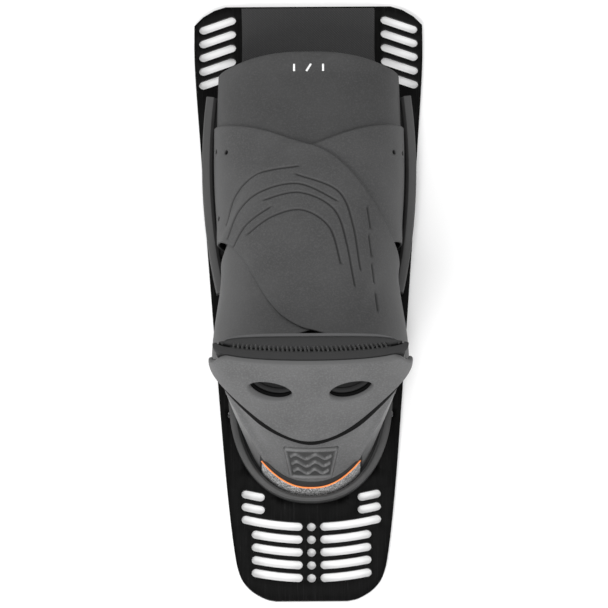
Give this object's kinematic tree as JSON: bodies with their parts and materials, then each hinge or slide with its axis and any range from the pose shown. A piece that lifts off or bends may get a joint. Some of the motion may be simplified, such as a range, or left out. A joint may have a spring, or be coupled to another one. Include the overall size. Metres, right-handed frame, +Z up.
{
  "type": "water ski binding",
  "caption": "Rubber water ski boot on a slotted mounting plate: open toe with crossed wraps, and a tall padded heel that pulls back by two finger holes.",
  "frame": {"origin": "centre of the mounting plate's underside", "axes": "+Y towards the toe along the plate, +Z up out of the plate, X across the foot"},
  "size_m": [0.1602, 0.423, 0.117],
  "materials": {
    "plate": "black anodised, brushed along its length",
    "foam": "matt closed-cell foam",
    "cover_fabric": "woven, matt",
    "dark_rubber": "matt",
    "rail_plastic": "satin grey",
    "steel": "bright",
    "lining_fabric": "knitted lining, matt",
    "cap_rubber": "matt moulded",
    "wrap_rubber": "matt moulded",
    "cup_rubber": "satin moulded",
    "reflective": "sparkling strip",
    "orange_rubber": "satin",
    "flap_foam": "matt moulded foam",
    "collar_foam": "matt foam with a knitted face",
    "lip_fabric": "matt",
    "thread": "matt thread"
  },
  "bodies": {
    "base": {"mounting_plate": "plate", "footbed_pad": "foam", "footbed_cover": "cover_fabric", "toe_flange_left": "dark_rubber", "toe_flange_right": "dark_rubber", "toe_rail_left": "rail_plastic", "toe_rail_right": "rail_plastic", "toe_rail_screws_left": "steel", "toe_rail_screws_right": "steel", "toe_liner": "lining_fabric", "toe_cap": "cap_rubber", "right_wrap": "wrap_rubber", "left_wrap": "wrap_rubber", "heel_flange": "dark_rubber", "heel_ring": "rail_plastic", "heel_ring_screws": "steel", "heel_cup": "cup_rubber", "heel_cup_liner": "lining_fabric", "heel_badge": "cup_rubber", "heel_band_border": "dark_rubber", "heel_piping": "orange_rubber", "heel_band": "reflective"},
    "heel_upper": {"heel_flap_backing": "lining_fabric", "heel_flap": "flap_foam", "collar_outer_pad": "collar_foam", "collar_seam": "collar_foam", "collar_inner_pad": "collar_foam", "collar_lining": "lip_fabric", "collar_stitching": "thread"}
  },
  "joints": [
    {"name": "heel_flex", "type": "hinge", "parent": "base", "child": "heel_upper", "pos_m": [0, -0.117, 0.045], "axis": [1, 0, 0], "range_deg": [0, 35], "stiffness_Nm_per_rad": 3}
  ]
}
